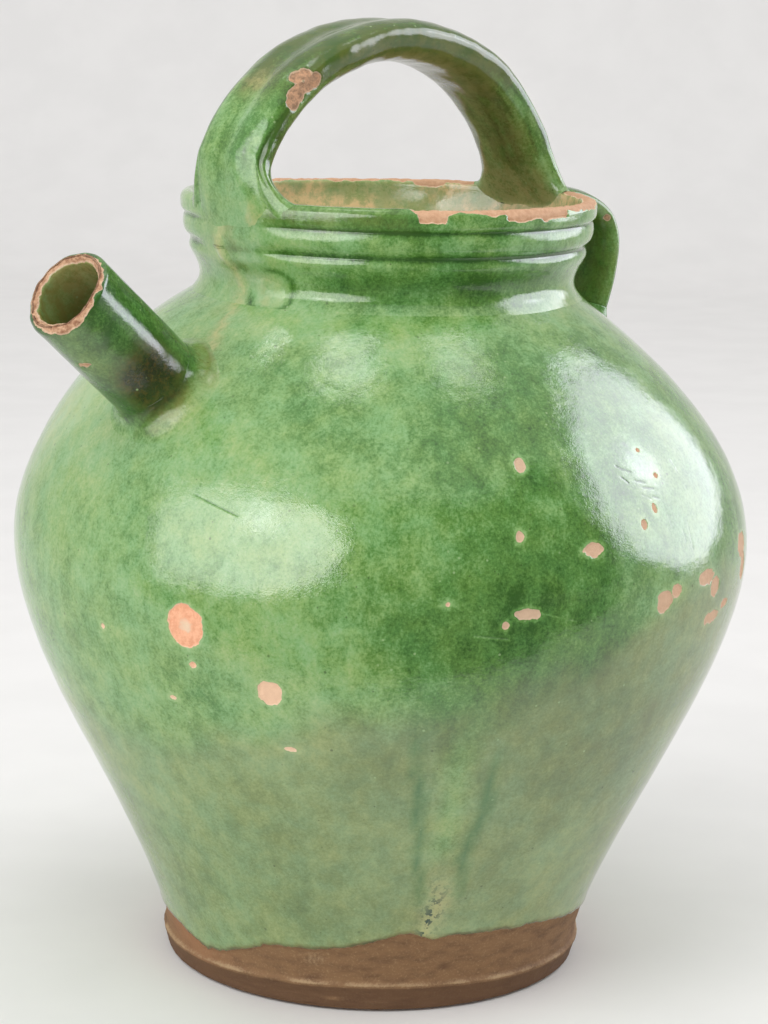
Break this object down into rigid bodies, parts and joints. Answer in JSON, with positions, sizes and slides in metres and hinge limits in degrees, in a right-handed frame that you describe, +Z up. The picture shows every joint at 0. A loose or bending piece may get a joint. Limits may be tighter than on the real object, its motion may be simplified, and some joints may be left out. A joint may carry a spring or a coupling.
{
  "type": "water pitcher",
  "caption": "Glazed earthenware water pitcher: round pot with a banded collar, a straight tube spout, a bail handle arched over the mouth and a small rear handle.",
  "frame": {"origin": "middle of the flat underside of the foot", "axes": "+Z up the pot's axis, +X along the spout, the handles lie in the XZ plane"},
  "size_m": [0.2744, 0.2564, 0.3281],
  "materials": {
    "body_glaze": "glossy mottled green lead glaze over terracotta, bare at the foot",
    "collar_glaze": "glossy green glaze, worn to bare clay along the rim",
    "spout_glaze": "glossy dark green glaze with a bare clay lip",
    "handle_glaze": "glossy green glaze, thin on the edges",
    "joint_glaze": "glossy olive green glaze"
  },
  "bodies": {
    "root": {"body": "body_glaze", "collar": "collar_glaze", "spout": "spout_glaze", "spout_coil": "joint_glaze", "bail_handle": "handle_glaze", "bail_front_wad": "joint_glaze", "rear_handle": "handle_glaze", "rear_handle_wad": "joint_glaze"}
  },
  "joints": []
}
